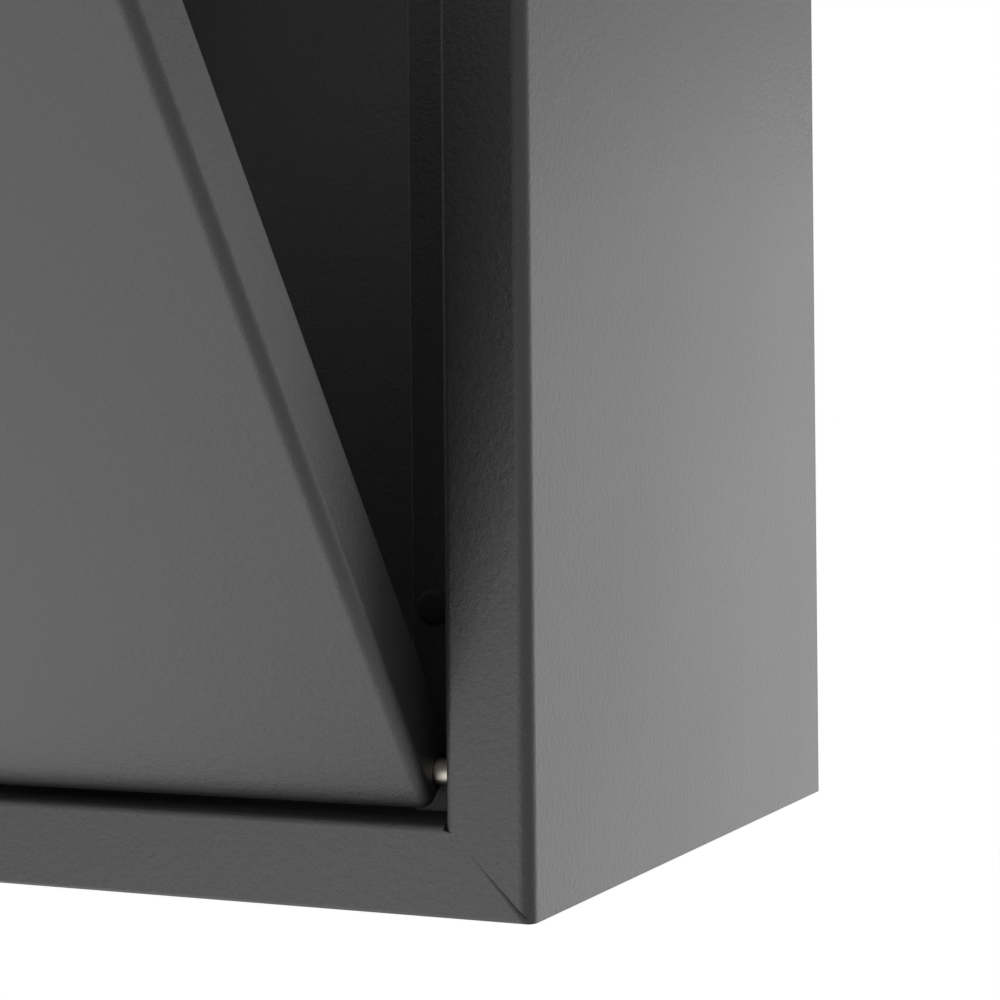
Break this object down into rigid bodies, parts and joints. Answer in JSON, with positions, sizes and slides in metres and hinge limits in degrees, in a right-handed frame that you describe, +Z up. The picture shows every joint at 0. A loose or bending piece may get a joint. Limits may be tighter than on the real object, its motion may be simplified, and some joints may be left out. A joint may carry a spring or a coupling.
{
  "type": "wall safe",
  "caption": "Folded steel wall safe with a bottom-hinged drop-front door that tilts out on two quadrant stays, key lock and sliding bolts.",
  "frame": {"origin": "centre of the four wall-bolt holes, on the plane of the back", "axes": "+X to the right seen from the front, +Y into the wall, +Z up"},
  "size_m": [0.36, 0.4191, 0.4],
  "materials": {
    "case_paint": "graphite powder coat, fine satin grain",
    "leaf_paint": "graphite powder coat, satin with slight orange peel",
    "zinc_steel": "bright zinc plate",
    "rubber": "matt black rubber",
    "mat_rubber": "fine-ribbed matt rubber mat",
    "lock_chrome": "nickel plated zinc casting",
    "lock_brass": "nickel silver plug face",
    "key_metal": "nickel plated key blank"
  },
  "bodies": {
    "case": {"side_panel_left": "case_paint", "side_panel_right": "case_paint", "top_panel": "case_paint", "bottom_panel": "case_paint", "back_panel": "case_paint", "wall_bolt_doublers": "case_paint", "floor_mat": "mat_rubber", "leaf_bumpers": "rubber", "hinge_boss_left": "case_paint", "hinge_boss_right": "case_paint", "hinge_pin_left": "zinc_steel", "hinge_pin_right": "zinc_steel", "stay_guide_left": "zinc_steel", "stay_guide_right": "zinc_steel", "guide_rivets": "zinc_steel"},
    "leaf": {"leaf_skin": "leaf_paint", "leaf_liner": "leaf_paint", "leaf_rib_lower": "leaf_paint", "leaf_rib_upper": "leaf_paint", "hinge_block_left": "leaf_paint", "hinge_block_right": "leaf_paint", "stay_left": "zinc_steel", "stay_right": "zinc_steel", "stay_pin_left": "zinc_steel", "stay_pin_right": "zinc_steel", "stay_rollers_left": "rubber", "stay_rollers_right": "rubber", "stay_rivets": "zinc_steel", "lock_barrel": "lock_chrome", "lock_rim": "lock_chrome", "lock_nut": "zinc_steel", "bolt_guide_left": "zinc_steel", "bolt_guide_right": "zinc_steel"},
    "bolts": {"bolt_bar": "zinc_steel", "lock_bolt_left": "zinc_steel", "lock_bolt_right": "zinc_steel"},
    "plug": {"lock_plug": "lock_brass", "lock_crank": "zinc_steel", "crank_pin": "zinc_steel", "key": "key_metal"}
  },
  "joints": [
    {"name": "leaf_tilt", "type": "hinge", "parent": "case", "child": "leaf", "pos_m": [0, -0.2086, -0.17], "axis": [1, 0, 0], "range_deg": [-36.5, 0]},
    {"name": "key_turn", "type": "hinge", "parent": "leaf", "child": "plug", "pos_m": [0, -0.39058, 0.06232], "axis": [0, -0.8039, -0.5948], "range_deg": [0, 90]},
    {"name": "bolt_throw", "type": "slide", "parent": "leaf", "child": "bolts", "axis": [0, -0.5948, 0.8039], "range_m": [0, 0.01273]}
  ],
  "couplings": [
    {"joint": "key_turn", "follows": "bolt_throw", "rad_per_m": 123.41}
  ]
}
